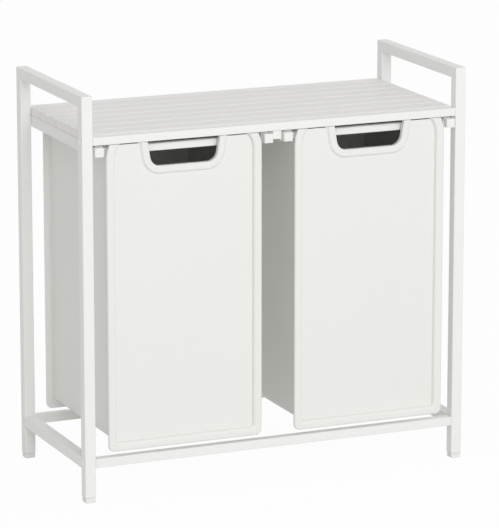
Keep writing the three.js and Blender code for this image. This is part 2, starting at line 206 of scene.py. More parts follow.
def newMaterial(name, color, rough):
    material = bpy.data.materials.new(name)
    material.use_nodes = True
    shader = material.node_tree.nodes["Principled BSDF"]
    shader.inputs["Base Color"].default_value = (*color, 1)
    shader.inputs["Roughness"].default_value = rough
    shader.inputs["IOR"].default_value = paintIor
    return material, material.node_tree.nodes, material.node_tree.links, shader


def objectPlace(nodes, links, scale):
    place, mapping = nodes.new("ShaderNodeTexCoord"), nodes.new("ShaderNodeMapping")
    mapping.inputs["Scale"].default_value = scale
    links.new(place.outputs["Object"], mapping.inputs["Vector"])
    return mapping.outputs["Vector"]


def noise(nodes, links, place, scale, detail=2.0, blend=0.5):
    texture = nodes.new("ShaderNodeTexNoise")
    texture.inputs["Scale"].default_value = scale
    texture.inputs["Detail"].default_value = detail
    texture.inputs["Roughness"].default_value = blend
    links.new(place, texture.inputs["Vector"])
    return texture.outputs["Fac"]


def tinted(nodes, links, shader, value, color, amount):
    # from a shade of the colour to the colour itself
    mix = nodes.new("ShaderNodeMix")
    mix.data_type = "RGBA"
    mix.inputs["A"].default_value = (*(channel * amount for channel in color), 1)
    mix.inputs["B"].default_value = (*color, 1)
    links.new(value, mix.inputs["Factor"])
    links.new(mix.outputs["Result"], shader.inputs["Base Color"])


def roughened(nodes, links, shader, value, rough, finish):
    spread = nodes.new("ShaderNodeMapRange")
    spread.inputs["To Min"].default_value = rough - finish["smoother"]
    spread.inputs["To Max"].default_value = rough + finish["rougher"]
    links.new(value, spread.inputs["Value"])
    links.new(spread.outputs["Result"], shader.inputs["Roughness"])


def bumped(nodes, links, shader, height, distance):
    bump = nodes.new("ShaderNodeBump")
    bump.inputs["Distance"].default_value = distance
    links.new(height, bump.inputs["Height"])
    links.new(bump.outputs["Normal"], shader.inputs["Normal"])


def peeled(name, finish, color, rough):
    # an even colour with faint clouds and a fine pebbled skin
    material, nodes, links, shader = newMaterial(name, color, rough)
    place = objectPlace(nodes, links, (1, 1, 1))
    cloud = noise(nodes, links, place, finish["cloud"])
    peel = noise(nodes, links, place, finish["peel"], finish["peelDetail"], finish["peelBlend"])
    tinted(nodes, links, shader, cloud, color, finish["cloudShade"])
    roughened(nodes, links, shader, peel, rough, finish)
    bumped(nodes, links, shader, peel, finish["peelDepth"])
    return material


def powderCoat(name, rough):
    return peeled(name, coat, coat["color"], rough)


def mouldedPlastic(name, color, rough):
    return peeled(name, moulding, color, rough)


def paintedSlat(name):
    # white paint over wood: the grain runs along X and shows as faint streaks
    color, rough, across = slatPaint["color"], slatPaint["rough"], slatPaint["grainAcross"]
    material, nodes, links, shader = newMaterial(name, color, rough)
    place = objectPlace(nodes, links, (slatPaint["grainAlong"] / across, 1, 1))
    grain = noise(nodes, links, place, across, slatPaint["grainDetail"], slatPaint["grainBlend"])
    wide = noise(nodes, links, place, slatPaint["wideGrain"])
    # the mean of the fine grain and the wide one
    half, both = nodes.new("ShaderNodeMath"), nodes.new("ShaderNodeMath")
    half.operation, both.operation = "MULTIPLY", "MULTIPLY_ADD"
    half.inputs[1].default_value = both.inputs[1].default_value = 1 / 2
    links.new(grain, half.inputs[0])
    links.new(wide, both.inputs[0])
    links.new(half.outputs[0], both.inputs[2])
    streak = nodes.new("ShaderNodeMapRange")
    streak.inputs["From Min"].default_value = slatPaint["streakLow"]
    streak.inputs["From Max"].default_value = slatPaint["streakHigh"]
    links.new(both.outputs[0], streak.inputs["Value"])
    tinted(nodes, links, shader, streak.outputs["Result"], color, slatPaint["streakShade"])
    roughened(nodes, links, shader, grain, rough, slatPaint)
    bumped(nodes, links, shader, both.outputs[0], slatPaint["grainDepth"])
    return material


frameCoat = powderCoat("frameCoat", coat["frameRough"])
barCoat = powderCoat("barCoat", coat["barRough"])
boltPaint = powderCoat("boltPaint", coat["boltRough"])
binPlastic = mouldedPlastic("binPlastic", moulding["color"], moulding["rough"])
capPlastic = mouldedPlastic("capPlastic", moulding["capColor"], moulding["capRough"])
footPlastic = mouldedPlastic("footPlastic", moulding["footColor"], moulding["footRough"])
slatWood = paintedSlat("slatWood")
print("finishes ready")


# making and finishing a piece
def camel(node):
    # a node's name as a piece's name
    first, *others = node.split("_")
    return first + "".join(word.title() for word in others)


def mixed(a, b, share):
    return a + (b - a) * share


def middleOf(low, high):
    return tuple((a + b) / 2 for a, b in zip(low, high))


def newPiece(name, points, faces):
    mesh = bpy.data.meshes.new(name)
    mesh.from_pydata([tuple(point) for point in points], [], faces)
    piece = bpy.data.objects.new(name, mesh)
    bpy.context.scene.collection.objects.link(piece)
    return piece


def openMesh(piece):
    work = bmesh.new()
    work.from_mesh(piece.data)
    return work


def closeMesh(work, piece):
    work.to_mesh(piece.data)
    work.free()


def baked(piece):
    # the piece with its modifiers worked into its mesh
    bpy.context.view_layer.update()
    graph = bpy.context.evaluated_depsgraph_get()
    mesh = bpy.data.meshes.new_from_object(piece.evaluated_get(graph))
    old = piece.data
    piece.modifiers.clear()
    piece.data = mesh
    mesh.name = piece.name
    if old.users == 0:
        bpy.data.meshes.remove(old)
    return piece


def smoothed(piece, angle=40):
    # smooth shading that stays sharp at edges past the angle
    piece.data.shade_smooth()
    piece.data.set_sharp_from_angle(angle=math.radians(angle))
    weighted = piece.modifiers.new("weighted", "WEIGHTED_NORMAL")
    weighted.keep_sharp = True
    return baked(piece)


def edged(piece, width, segments=3, angle=30):
    # every edge sharper than the angle gets a rounding of this many millimetres
    edge = piece.modifiers.new("edge", "BEVEL")
    edge.width, edge.segments, edge.limit_method = width * mm, segments, "ANGLE"
    edge.angle_limit = math.radians(angle)
    baked(piece)
    return smoothed(piece)


def finished(piece, material, slot, body, *nodes):
    piece.data.materials.clear()
    piece.data.materials.append(material)
    for face in piece.data.polygons:
        face.material_index = 0
    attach(piece, body)
    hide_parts(*nodes)


# shapes made of boxes
def cellShell(name, xs, ys, zs, filled):
    # the closed skin round the filled cells of a grid of boxes
    points, index, faces = [], {}, []

    def point(i, j, k):
        if (i, j, k) not in index:
            index[i, j, k] = len(points)
            points.append((xs[i], ys[j], zs[k]))
        return index[i, j, k]

    skin = {
        (-1, 0, 0): ((0, 0, 0), (0, 0, 1), (0, 1, 1), (0, 1, 0)),
        (1, 0, 0): ((1, 0, 0), (1, 1, 0), (1, 1, 1), (1, 0, 1)),
        (0, -1, 0): ((0, 0, 0), (1, 0, 0), (1, 0, 1), (0, 0, 1)),
        (0, 1, 0): ((0, 1, 0), (0, 1, 1), (1, 1, 1), (1, 1, 0)),
        (0, 0, -1): ((0, 0, 0), (0, 1, 0), (1, 1, 0), (1, 0, 0)),
        (0, 0, 1): ((0, 0, 1), (1, 0, 1), (1, 1, 1), (0, 1, 1)),
    }
    for i, j, k in filled:
        for (di, dj, dk), corners in skin.items():
            if (i + di, j + dj, k + dk) not in filled:
                faces.append([point(i + a, j + b, k + c) for a, b, c in corners])
    return newPiece(name, points, faces)


def dissolveFlat(piece, angle=0.001):
    work = openMesh(piece)
    bmesh.ops.dissolve_limit(work, angle_limit=angle, verts=work.verts, edges=work.edges)
    closeMesh(work, piece)
    return piece


def boxAround(name, low, high):
    return cellShell(name, (low[0], high[0]), (low[1], high[1]), (low[2], high[2]), {(0, 0, 0)})


def openTube(name, low, high, wall):
    # a square tube from front to back, open at both ends
    xs = (low.x, low.x + wall, high.x - wall, high.x)
    zs = (low.z, low.z + wall, high.z - wall, high.z)
    filled = {(i, 0, k) for i in range(3) for k in range(3) if (i, k) != (1, 1)}
    return cellShell(name, xs, (low.y, high.y), zs, filled)


def angleStrip(name, low, high, leg, flange, legOnLeft):
    # an L of sheet steel from front to back: a leg at one side and a flange along the top
    xs = (low.x, low.x + leg, high.x) if legOnLeft else (low.x, high.x - leg, high.x)
    upright = 0 if legOnLeft else 1
    cells = {(upright, 0, 0), (upright, 0, 1), (1 - upright, 0, 1)}
    return dissolveFlat(cellShell(name, xs, (low.y, high.y), (low.z, high.z - flange, high.z), cells))


# side frames, each welded from two legs and two rails
sideFrame = {"edge": 1.6, "segments": 4}


def addSideFrame(side):
    nodes = [f"{side}_{part}" for part in ("front_leg", "back_leg", "handle_rail", "lower_rail")]
    leg, backLeg, handle, lower = (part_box(node) for node in nodes)
    xs = (leg[0].x, leg[1].x)
    ys = (leg[0].y, leg[1].y, backLeg[0].y, backLeg[1].y)
    zs = (leg[0].z, lower[0].z, lower[1].z, handle[0].z, handle[1].z)
    filled = {(0, column, row) for column in (0, 2) for row in range(4)}
    filled |= {(0, 1, 1), (0, 1, 3)}
    piece = dissolveFlat(cellShell(f"{side}SideFrame", xs, ys, zs, filled))
    edged(piece, sideFrame["edge"], sideFrame["segments"])
    finished(piece, frameCoat, "frame_steel", "frame", *nodes)


for side in sides:
    addSideFrame(side)
print("side frames ready")


# cross rails, which the bolts pull tight against the legs
crossRail = {"edge": 1.3, "play": 0.25}


def addSteel(node, piece, edge, segments=3):
    # a piece of the frame that stands for one node
    edged(piece, edge, segments)
    finished(piece, frameCoat, "frame_steel", "frame", node)


def addCrossRail(node):
    low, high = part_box(node)
    low.x -= crossRail["play"] * mm / 2
    high.x += crossRail["play"] * mm / 2
    addSteel(node, boxAround(camel(node), low, high), crossRail["edge"])


for end in ends:
    for level in levels:
        addCrossRail(f"{end}_{level}_rail")
print("cross rails ready")


# node trees that make what repeats
def newTree(name, inputs):
    tree = bpy.data.node_groups.new(name, "GeometryNodeTree")
    for way in ("INPUT", "OUTPUT"):
        tree.interface.new_socket("Geometry", in_out=way, socket_type="NodeSocketGeometry")
    sockets = {}
    for label, kind in inputs.items():
        socket = tree.interface.new_socket(label, in_out="INPUT", socket_type=f"NodeSocket{kind}")
        sockets[label] = socket.identifier
    return tree, tree.nodes, tree.links, sockets


def endTree(nodes, links, geometry, material):
    real = nodes.new("GeometryNodeRealizeInstances")
    paint = nodes.new("GeometryNodeSetMaterial")
    out = nodes.new("NodeGroupOutput")
    links.new(geometry, real.inputs[0])
    links.new(real.outputs[0], paint.inputs["Geometry"])
    links.new(material, paint.inputs["Material"])
    links.new(paint.outputs[0], out.inputs[0])


def runTree(piece, tree, sockets, values):
    # the tree's result as a plain mesh piece
    modifier = piece.modifiers.new("make", "NODES")
    modifier.node_group = tree
    for label, value in values.items():
        modifier[sockets[label]] = value
    return baked(piece)


# shelf slats
slats = {
    "count": 7, "topRound": 4.4, "bottomRound": 1.0, "roundSteps": 6,
    "endRound": 0.7, "endSteps": 2, "endAngle": 60,
}


def slatSection(nodes, links, given):
    # the slat's end outline, with wide roundings at its top and small ones below
    section = nodes.new("GeometryNodeCurvePrimitiveQuadrilateral")
    links.new(given.outputs["Depth"], section.inputs["Width"])
    links.new(given.outputs["Thickness"], section.inputs["Height"])
    place, parts = nodes.new("GeometryNodeInputPosition"), nodes.new("ShaderNodeSeparateXYZ")
    links.new(place.outputs[0], parts.inputs[0])
    upper = nodes.new("FunctionNodeCompare")
    upper.data_type, upper.operation = "FLOAT", "GREATER_THAN"
    links.new(parts.outputs["Y"], upper.inputs[0])
    pick = nodes.new("GeometryNodeSwitch")
    pick.input_type = "FLOAT"
    links.new(upper.outputs[0], pick.inputs[0])
    links.new(given.outputs["Top Round"], pick.inputs[1])       # the section's -Y comes out on top
    links.new(given.outputs["Bottom Round"], pick.inputs[2])
    fillet = nodes.new("GeometryNodeFilletCurve")
    fillet.mode = "POLY"
    links.new(given.outputs["Round Steps"], fillet.inputs["Count"])
    links.new(section.outputs[0], fillet.inputs["Curve"])
    links.new(pick.outputs[0], fillet.inputs["Radius"])
    return fillet.outputs[0]


def slatTree():
    # one slat swept along X, and a row of them from front to back
    tree, nodes, links, sockets = newTree("shelfSlats", {
        "Count": "Int", "Pitch": "Float", "Length": "Float", "Depth": "Float", "Thickness": "Float",
        "Top Round": "Float", "Bottom Round": "Float", "Round Steps": "Int", "Start": "Vector",
        "Paint": "Material",
    })
    given = nodes.new("NodeGroupInput")
    line = nodes.new("GeometryNodeCurvePrimitiveLine")
    for label, share in (("Start", -0.5), ("End", 0.5)):
        reach, tip = nodes.new("ShaderNodeMath"), nodes.new("ShaderNodeCombineXYZ")
        reach.operation = "MULTIPLY"
        reach.inputs[1].default_value = share
        links.new(given.outputs["Length"], reach.inputs[0])
        links.new(reach.outputs[0], tip.inputs["X"])
        links.new(tip.outputs[0], line.inputs[label])
    sweep = nodes.new("GeometryNodeCurveToMesh")
    links.new(line.outputs[0], sweep.inputs["Curve"])
    links.new(slatSection(nodes, links, given), sweep.inputs["Profile Curve"])
    sweep.inputs["Fill Caps"].default_value = True
    step, row = nodes.new("ShaderNodeCombineXYZ"), nodes.new("GeometryNodeMeshLine")
    links.new(given.outputs["Pitch"], step.inputs["Y"])
    links.new(given.outputs["Count"], row.inputs["Count"])
    links.new(given.outputs["Start"], row.inputs["Start Location"])
    links.new(step.outputs[0], row.inputs["Offset"])
    repeat = nodes.new("GeometryNodeInstanceOnPoints")
    links.new(row.outputs[0], repeat.inputs["Points"])
    links.new(sweep.outputs[0], repeat.inputs["Instance"])
    endTree(nodes, links, repeat.outputs[0], given.outputs["Paint"])
    return tree, sockets


def addSlats():
    low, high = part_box("shelf_slat_1")
    nextLow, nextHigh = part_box("shelf_slat_2")
    middle = middleOf(low, high)
    piece = runTree(newPiece("shelfSlats", [(0, 0, 0)], []), *slatTree(), {
        "Count": slats["count"], "Pitch": nextLow.y - low.y, "Length": high.x - low.x,
        "Depth": high.y - low.y, "Thickness": high.z - low.z,
        "Top Round": slats["topRound"] * mm, "Bottom Round": slats["bottomRound"] * mm,
        "Round Steps": slats["roundSteps"], "Start": (0, middle[1], middle[2]), "Paint": slatWood,
    })
    edged(piece, slats["endRound"], slats["endSteps"], slats["endAngle"])
    nodes = [f"shelf_slat_{number + 1}" for number in range(slats["count"])]
    finished(piece, slatWood, "shelf_slat", "frame", *nodes)


addSlats()
print("shelf slats ready")


# bolts, feet and runner caps, each one shape on many points
def placed(name, shape, places, material, turns=None):
    # puts the shape on every place, turned by the place's own angles
    start = newPiece(name, places, [])
    attribute = start.data.attributes.new("turn", "FLOAT_VECTOR", "POINT")
    for number, turn in enumerate(turns or []):
        attribute.data[number].vector = turn
    tree, nodes, links, sockets = newTree(name, {"Shape": "Object", "Finish": "Material"})
    given = nodes.new("NodeGroupInput")
    source = nodes.new("GeometryNodeObjectInfo")
    links.new(given.outputs["Shape"], source.inputs["Object"])
    angles = nodes.new("GeometryNodeInputNamedAttribute")
    angles.data_type = "FLOAT_VECTOR"
    angles.inputs["Name"].default_value = "turn"
    toTurn = nodes.new("FunctionNodeEulerToRotation")
    links.new(angles.outputs["Attribute"], toTurn.inputs[0])
    repeat = nodes.new("GeometryNodeInstanceOnPoints")
    links.new(given.outputs["Geometry"], repeat.inputs["Points"])
    links.new(source.outputs["Geometry"], repeat.inputs["Instance"])
    links.new(toTurn.outputs[0], repeat.inputs["Rotation"])
    endTree(nodes, links, repeat.outputs[0], given.outputs["Finish"])
    piece = runTree(start, tree, sockets, {"Shape": shape, "Finish": material})
    bpy.data.objects.remove(shape)
    return piece


def turnedShape(name, profile, steps):
    # a profile of (radius, height) pairs turned round Z
    points, faces, rings = [], [], []
    for radius, height in profile:
        if radius == 0:
            rings.append([len(points)])
            points.append((0, 0, height))
            continue
        rings.append(list(range(len(points), len(points) + steps)))
        for step in range(steps):
            angle = 2 * math.pi * step / steps
            points.append((radius * math.cos(angle), radius * math.sin(angle), height))
    for lower, upper in zip(rings, rings[1:]):
        for step in range(steps):
            following = (step + 1) % steps
            if len(lower) == 1:
                faces.append((lower[0], upper[following], upper[step]))
            elif len(upper) == 1:
                faces.append((lower[step], lower[following], upper[0]))
            else:
                faces.append((lower[step], lower[following], upper[following], upper[step]))
    return newPiece(name, points, faces)


bolt = {
    "headRadius": 4.8, "headHeight": 2.2, "headEdge": 0.2,
    "domeLift": 0.3, "domeAngles": (1.45, 1.2, 0.95, 0.72),
    "shankRadius": 3.0, "shankLength": 6,
    "socketRadius": 2.0, "socketDepth": 1.3, "socketTaper": 0.1, "socketTip": 0.35,
    "lipWidth": 0.35, "lipDepth": 0.15,
    "turnSteps": 30, "smoothAngle": 38,
}


def boltProfile():
    # radius and height, from the end of the shank over the domed head to the bottom of its socket
    radius, height, edge, lift = bolt["headRadius"], bolt["headHeight"], bolt["headEdge"], bolt["domeLift"]
    shank, length, socket = bolt["shankRadius"], bolt["shankLength"], bolt["socketRadius"]
    profile = [(0, -length), (shank, -length), (shank, 0), (radius - edge, 0), (radius, edge)]
    for angle in bolt["domeAngles"]:
        profile.append((radius * math.sin(angle), height * (lift + (1 - lift) * math.cos(angle))))
    profile += [
        (socket + bolt["lipWidth"], height),
        (socket, height - bolt["lipDepth"]),
        (socket - bolt["socketTaper"], height - bolt["socketDepth"]),
        (0, height - bolt["socketDepth"] - bolt["socketTip"]),
    ]
    return profile


def addBolts():
    profile = [(radius * mm, height * mm) for radius, height in boltProfile()]
    shape = turnedShape("boltShape", profile, bolt["turnSteps"])
    places, turns, nodes = [], [], []
    for side, outward in (("left", -1), ("right", 1)):
        for end in ends:
            for level in levels:
                node = f"{side}_{end}_{level}_bolt"
                low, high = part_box(node)
                tip = high.x if outward > 0 else low.x
                x, y, z = middleOf(low, high)
                places.append((tip - outward * bolt["headHeight"] * mm, y, z))
                turns.append((0, outward * math.pi / 2, 0))
                nodes.append(node)
    piece = smoothed(placed("sideBolts", shape, places, boltPaint, turns), bolt["smoothAngle"])
    finished(piece, boltPaint, "bolt", "frame", *nodes)


foot = {
    "sideRound": 1.6, "sideSteps": 4, "soleRound": 2.0, "soleSteps": 4, "lidRound": 0.5, "lidSteps": 2,
    "legGap": 0.2, "sharpAngle": 0.5,
}


def roundEdges(work, edges, width, steps):
    bmesh.ops.bevel(work, geom=edges, offset=width * mm, segments=steps, profile=0.5, affect="EDGES")


def edgesAt(work, height):
    # the sharp edges that lie flat at a height
    near = [edge for edge in work.edges if all(abs(vert.co.z - height) < tiny for vert in edge.verts)]
    return [edge for edge in near if edge.calc_face_angle() > foot["sharpAngle"]]


def addFeet():
    low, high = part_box("left_front_foot")
    half = (high.x - low.x) / 2
    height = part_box("left_front_leg")[0].z - foot["legGap"] * mm
    shape = boxAround("footShape", (-half, -half, 0), (half, half, height))
    work = openMesh(shape)
    upright = [edge for edge in work.edges if abs(edge.verts[0].co.z - edge.verts[1].co.z) > mm]
    roundEdges(work, upright, foot["sideRound"], foot["sideSteps"])
    roundEdges(work, edgesAt(work, 0), foot["soleRound"], foot["soleSteps"])
    roundEdges(work, edgesAt(work, height), foot["lidRound"], foot["lidSteps"])
    closeMesh(work, shape)
    nodes = [f"{side}_{end}_foot" for side in sides for end in ends]
    middles = [middleOf(*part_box(node)) for node in nodes]
    piece = smoothed(placed("footCaps", shape, [(x, y, 0) for x, y, z in middles], footPlastic))
    finished(piece, footPlastic, "foot_plastic", "frame", *nodes)


runnerCap = {"edge": 1.2, "tubeGap": 0.3}


def addRunnerCaps():
    low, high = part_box("left_outer_runner_cap")
    half = (high.x - low.x) / 2
    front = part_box("left_front_leg")[0].y
    shape = boxAround("capShape", (-half, low.y - front, -half), (half, -runnerCap["tubeGap"] * mm, half))
    edged(shape, runnerCap["edge"])
    nodes = [f"{side}_{place}_runner_cap" for side in sides for place in ("outer", "inner")]
    middles = [middleOf(*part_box(node)) for node in nodes]
    piece = smoothed(placed("runnerCaps", shape, [(x, front, z) for x, y, z in middles], capPlastic))
    finished(piece, capPlastic, "cap_plastic", "frame", *nodes)


addBolts()
addFeet()
addRunnerCaps()
print("bolts, feet and runner caps ready")


# runners, strips and bearer under the shelf
underShelf = {
    "bearerEdge": 1.0, "runnerWall": 1.2, "runnerEdge": 0.5,
    "stripLeg": 2.2, "stripFlange": 1.7, "stripEdge": 0.4, "segments": 2,
}


def addUnderShelf(side):
    edge, segments = underShelf["stripEdge"], underShelf["segments"]
    for node in (f"{side}_outer_runner", f"{side}_inner_runner"):
        tube = openTube(camel(node), *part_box(node), underShelf["runnerWall"] * mm)
        addSteel(node, tube, underShelf["runnerEdge"], segments)
    inner, outer = f"{side}_inner_strip", f"{side}_outer_strip"
    addSteel(inner, boxAround(camel(inner), *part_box(inner)), edge, segments)
    leg, flange = underShelf["stripLeg"] * mm, underShelf["stripFlange"] * mm
    addSteel(outer, angleStrip(camel(outer), *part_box(outer), leg, flange, side == "left"), edge, segments)


addSteel("centre_bearer", boxAround("centreBearer", *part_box("centre_bearer")), underShelf["bearerEdge"])
for side in sides:
    addUnderShelf(side)
print("runners, strips and bearer ready")


# front and back panels of the bins
panel = {
    "edgeRound": 3.6, "floorEdgeRound": 1.0, "notchRound": 1.6, "backRound": 0.8, "topRound": 0.5,
    "bottomRadius": 11.0, "shoulderRadius": 54.0, "shoulderHeight": 25.7,
    "rim": 8.0, "recess": 9.0, "roll": 7.5,                     # roll is the width of the recess's wall
    "slope": 0.3, "slopePower": 3, "wallPower": 20,             # a gentle slope, then a steep wall
    "floorRadius": 5.0, "faceRadius": 6.0,
    "floorGap": 1.9,        # how far the recess floor ends below the panel's top
    "flange": 5.5, "back": 11.0, "bossInset": 9.3, "bossSlope": 0.5,
    "notchTop": 135.0, "notchFoot": 120.0, "notchDepth": 43.8, "notchRadius": 19.0,
    "padMargin": 13.0, "padHeight": 5.0, "padSlope": 4.6,
    "collar": 2.2, "collarSlope": 0.15, "collarReach": 2.4, "reachSlack": 0.01,
    "openTop": 2,           # how far an outline that is open at the top runs past it
    "straight": 9999.0,     # radius of a side with no shoulder
    "arcSteps": 10, "rollSteps": 10, "edgeSteps": 5, "notchSteps": 12, "notchEdgeSteps": 4, "padSteps": 8,
    "halvings": 24, "smoothAngle": 34,
}

panelLow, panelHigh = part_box("left_bin_front_panel")
panelHalf, panelFoot, panelTop = (panelHigh.x - panelLow.x) / 2 / mm, panelLow.z / mm, panelHigh.z / mm
shoulderFoot = panelTop - panel["shoulderHeight"]


def outlineRing(inset=0.0, above=0.0):
    half, bottom, radius = panelHalf - inset, panelFoot + inset, panel["bottomRadius"] - inset
    return half, bottom, panelTop + above, radius, panel["shoulderRadius"] - inset, shoulderFoot


def recessRing(rest):
    # the recess outline where rest is 1 on its floor and 0 on the rims' face, open at the top
    inset = panel["rim"] + panel["roll"] * rest
    half, bottom, top = panelHalf - inset, panelFoot + inset, panelTop + panel["openTop"]
    radius = mixed(panel["faceRadius"], panel["floorRadius"], rest)
    return half, bottom, top, radius, panel["shoulderRadius"] - inset, shoulderFoot


def bossRing(inset):
    # the boss behind the panel keeps straight sides up to the top
    half, bottom, top = panelHalf - inset, panelFoot + inset, panelTop + panel["openTop"]
    return half, bottom, top, panel["bottomRadius"], panel["straight"], panelTop


def ringPoints(ring):
    # anticlockwise from the lower left: rounded lower corners, and wide arcs that lead in to the top
    half, bottom, top, radius, wide, foot = ring
    rise = math.asin((top - foot) / wide)
    arcs = (
        (radius - half, bottom + radius, radius, -math.pi, -math.pi / 2),
        (half - radius, bottom + radius, radius, -math.pi / 2, 0),
        (half - wide, foot, wide, 0, rise),
        (wide - half, foot, wide, math.pi - rise, math.pi),
    )
    line = []
    for x, z, reach, start, end in arcs:
        for step in range(panel["arcSteps"] + 1):
            angle = mixed(start, end, step / panel["arcSteps"])
            line.append((x + reach * math.cos(angle), z + reach * math.sin(angle)))
    return line


def ringDepth(x, z, ring):
    # how far a point lies inside that outline, negative outside it
    half, bottom, top, radius, wide, foot = ring
    rise = min(max(0.0, z - foot), wide)
    side = half - abs(x) - wide + math.sqrt(wide ** 2 - rise ** 2)
    if side < radius and z < bottom + radius:
        return radius - math.hypot(radius - side, bottom + radius - z)
    return min(side, z - bottom, top - z)


def notchFacts(margin):
    # the notch outline at a margin: straight sides that lean out, and a corner arc at each foot
    bottom = panelTop - panel["notchDepth"] - margin
    footHalf, topHalf = panel["notchFoot"] / 2 + margin, panel["notchTop"] / 2 + margin
    radius = panel["notchRadius"] + margin
    lean = math.atan2(topHalf - footHalf, panelTop - bottom)
    centreX = footHalf - radius * (1 - math.sin(lean)) / math.cos(lean)
    return bottom, footHalf, topHalf, radius, lean, centreX


def notchLine(margin):
    # that outline, from its upper left down and round to its upper right
    bottom, footHalf, topHalf, radius, lean, centreX = notchFacts(margin)
    right = []
    for step in range(panel["notchSteps"] + 1):
        angle = -math.pi / 2 + (math.pi / 2 - lean) * step / panel["notchSteps"]
        right.append((centreX + radius * math.cos(angle), bottom + radius + radius * math.sin(angle)))
    right.append((topHalf, panelTop))
    return [(-x, z) for x, z in reversed(right)] + right


def notchGap(x, z):
    # how far a point lies outside the notch, negative in it
    bottom, footHalf, topHalf, radius, lean, centreX = notchFacts(0.0)
    awayX, awayZ = abs(x) - centreX, z - bottom - radius
    if -math.pi / 2 <= math.atan2(awayZ, awayX) <= -lean:
        return math.hypot(awayX, awayZ) - radius
    return max((abs(x) - footHalf) * math.cos(lean) - (z - bottom) * math.sin(lean), bottom - z)


def recessDepth(x, z):
    if ringDepth(x, z, recessRing(1)) >= 0:
        return panel["recess"]
    if ringDepth(x, z, recessRing(0)) <= 0:
        return 0.0
    inner, outer = 1.0, 0.0
    for attempt in range(panel["halvings"]):
        rest = (inner + outer) / 2
        if ringDepth(x, z, recessRing(rest)) > 0:
            outer = rest
        else:
            inner = rest
    slope = panel["slope"] * rest ** panel["slopePower"]
    wall = (1 - panel["slope"]) * (1 - math.sqrt(max(0.0, 1 - rest ** panel["wallPower"])))
    return panel["recess"] * (slope + wall)


def rounding(gap, radius):
    # how far a rounded edge falls back at a gap from the outline
    if gap >= radius:
        return 0.0
    return radius - math.sqrt(max(0.0, radius ** 2 - (radius - max(gap, 0)) ** 2))


def frontDepth(x, z, hasNotch):
    # how far the front skin lies behind the panel's foremost plane
    depth = recessDepth(x, z)
    if hasNotch:
        inPad = panel["padMargin"] + panel["padSlope"] / 2 - notchGap(x, z)
        if inPad > 0:
            share = min(inPad / panel["padSlope"], 1)
            depth = min(depth, panel["recess"] - panel["padHeight"] * share * share * (3 - 2 * share))
    edge = mixed(panel["edgeRound"], panel["floorEdgeRound"], min(depth / panel["recess"], 1))
    # the sides' rounding runs on past the top, which has a smaller one of its own
    outline = ringDepth(x, z, outlineRing(above=2 * panel["edgeRound"]))
    fall = max(rounding(outline, edge), rounding(panelTop - z, panel["topRound"]))
    if hasNotch:
        fall = max(fall, rounding(notchGap(x, z), panel["notchRound"]))
    return depth + fall


def backDepth(x, z, hasNotch):
    # the same for the back skin, with its boss between the bin's sides and a collar round the notch
    inset = panel["bossInset"]
    inBoss = min(panelHalf - inset - abs(x), ringDepth(x, z, bossRing(inset)))
    depth = mixed(panel["flange"], panel["back"], max(0.0, min(inBoss / panel["bossSlope"], 1)))
    outline = ringDepth(x, z, outlineRing())
    if hasNotch:
        gap = notchGap(x, z)
        if gap <= panel["collar"] + panel["reachSlack"]:
            depth += panel["collarReach"]
        outline = min(outline, gap)
    return depth - rounding(outline, panel["backRound"])


def panelOutline(hasNotch):
    # the whole outline, cut by the notch and lowered where the recess's floor ends
    ring = ringPoints(outlineRing())
    if not hasNotch:
        return ring
    lastArc = 3 * (panel["arcSteps"] + 1)
    floorTop = panelTop - panel["floorGap"]
    half, bottom, top, radius, wide, foot = recessRing(1)
    wallX = half - wide + math.sqrt(wide ** 2 - (panelTop - foot) ** 2)
    padX = panel["notchTop"] / 2 + panel["padMargin"] + panel["padSlope"] / 2
    gap = [(wallX, panelTop), (wallX, floorTop), (padX, floorTop), (padX, panelTop)]
    across = gap + list(reversed(notchLine(0))) + [(-x, z) for x, z in reversed(gap)]
    return ring[:lastArc] + across + ring[lastArc:]


def panelLoops(hasNotch):
    # lines that the skins' triangles follow, each with whether it is closed
    edgeRound, edgeSteps = panel["edgeRound"], panel["edgeSteps"]
    loops = [(panelOutline(hasNotch), True)]
    for step in range(1, edgeSteps + 1):
        inset = edgeRound * (1 - math.cos(step / edgeSteps * math.pi / 2))
        loops.append((ringPoints(outlineRing(inset, -inset * panel["topRound"] / edgeRound)), True))
    for step in range(panel["rollSteps"] + 1):
        loops.append((ringPoints(recessRing(1 - (step / panel["rollSteps"]) ** 2)), True))
    for inset in (panel["bossInset"], panel["bossInset"] + panel["bossSlope"]):
        loops.append((ringPoints(bossRing(inset)), True))
    if hasNotch:
        steps, padSteps = panel["notchEdgeSteps"], panel["padSteps"]
        quarter = [step / steps * math.pi / 2 for step in range(1, steps + 1)]
        margins = [panel["notchRound"] * (1 - math.cos(angle)) for angle in quarter]
        margins += [panel["collar"], panel["collar"] + panel["collarSlope"]]
        for step in range(padSteps + 1):
            margins.append(panel["padMargin"] + panel["padSlope"] * (step / padSteps - 0.5))
        loops += [(notchLine(margin), False) for margin in margins]
    return loops


def insidePolygon(x, z, polygon):
    inside = False
    for (ax, az), (bx, bz) in zip(polygon, polygon[1:] + polygon[:1]):
        if (az > z) != (bz > z) and x < ax + (z - az) * (bx - ax) / (bz - az):
            inside = not inside
    return inside


def flatTriangles(loops, mergeWithin=1e-5):
    # one flat triangulation of the first loop's inside that keeps every loop as an edge line
    spots, edges = [], []
    for loop, closed in loops:
        first = len(spots)
        spots += [Vector(point) for point in loop]
        edges += [(first + step, first + step + 1) for step in range(len(loop) - 1)]
        if closed:
            edges.append((first + len(loop) - 1, first))
    flat, flatEdges, triangles, *rest = delaunay_2d_cdt(spots, edges, [], 0, mergeWithin)
    kept = []
    for a, b, c in triangles:
        middle = (flat[a] + flat[b] + flat[c]) / 3
        if insidePolygon(middle.x, middle.y, loops[0][0]):
            area = (flat[b] - flat[a]).cross(flat[c] - flat[a])
            kept.append((a, b, c) if area > 0 else (a, c, b))
    return flat, kept


